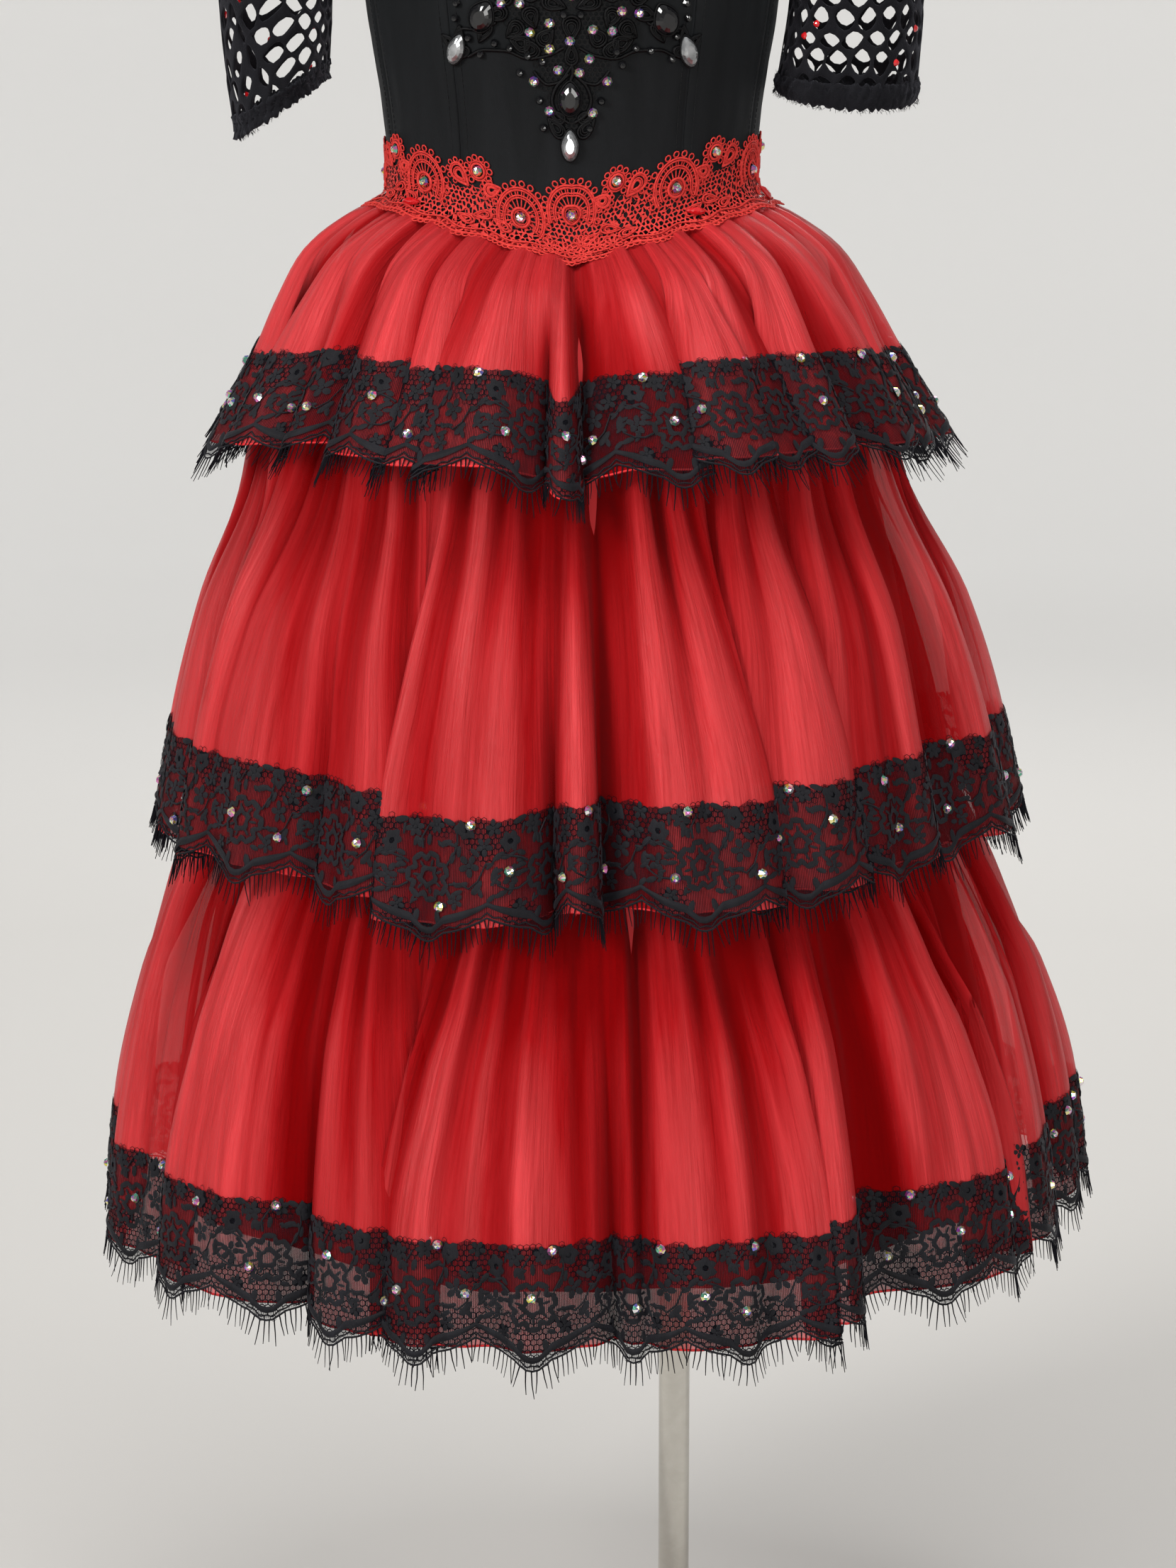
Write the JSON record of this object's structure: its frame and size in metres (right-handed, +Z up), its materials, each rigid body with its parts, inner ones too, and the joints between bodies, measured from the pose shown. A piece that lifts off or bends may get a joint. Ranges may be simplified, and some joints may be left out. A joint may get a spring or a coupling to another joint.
{
  "type": "tiered tutu dress on a dress form",
  "caption": "Red tiered gathered skirt with black lace trims, black basque bodice and empty net sleeves, held by a limbless dress form on a pole and round base.",
  "frame": {"origin": "on the floor plane under the middle of the waist, on the base plate's underside", "axes": "+Z up, -Y towards the garment's front, +X to the viewer's right when the front is seen"},
  "size_m": [0.6823, 0.6485, 1.6003],
  "materials": {
    "organza": "crinkled semi-sheer organza with a soft sheen",
    "lining_cloth": "smooth satin",
    "black_lace": "matte floral net lace with an eyelash edge",
    "bodice_cloth": "fine matte woven cloth with a slight sheen",
    "red_guipure": "matte embroidered thread",
    "sleeve_net": "matte open net",
    "applique_cord": "satin cord",
    "stone_black": "faceted and polished",
    "stone_grey": "faceted and polished",
    "crystal": "faceted, iridescent",
    "red_bead": "polished",
    "chrome": "polished",
    "form_cover": "stretched jersey",
    "neck_wood": "satin varnish"
  },
  "bodies": {
    "root": {"base_plate": "chrome", "base_collar": "chrome", "pole": "chrome", "form_flange": "chrome", "form_torso": "form_cover", "neck_cap": "neck_wood", "bodice_centre_front": "bodice_cloth", "bodice_side_front_right": "bodice_cloth", "bodice_side_front_left": "bodice_cloth", "bodice_side_right": "bodice_cloth", "bodice_side_left": "bodice_cloth", "bodice_side_back_right": "bodice_cloth", "bodice_side_back_left": "bodice_cloth", "bodice_back_right": "bodice_cloth", "bodice_back_left": "bodice_cloth", "strap_right": "bodice_cloth", "strap_left": "bodice_cloth", "back_placket": "bodice_cloth", "lining": "lining_cloth", "tier_1": "organza", "tier_2": "organza", "tier_3": "organza", "lace_1": "black_lace", "lace_2": "black_lace", "lace_3": "black_lace", "fringe_1": "black_lace", "fringe_2": "black_lace", "fringe_3": "black_lace", "waist_band": "red_guipure", "sleeve_right": "sleeve_net", "sleeve_left": "sleeve_net", "cuff_right": "sleeve_net", "cuff_left": "sleeve_net", "applique": "applique_cord", "stone_black_left": "stone_black", "stone_black_right": "stone_black", "stone_black_centre": "stone_black", "stone_grey_left": "stone_grey", "stone_grey_right": "stone_grey", "stone_grey_centre": "stone_grey"}
  },
  "joints": []
}
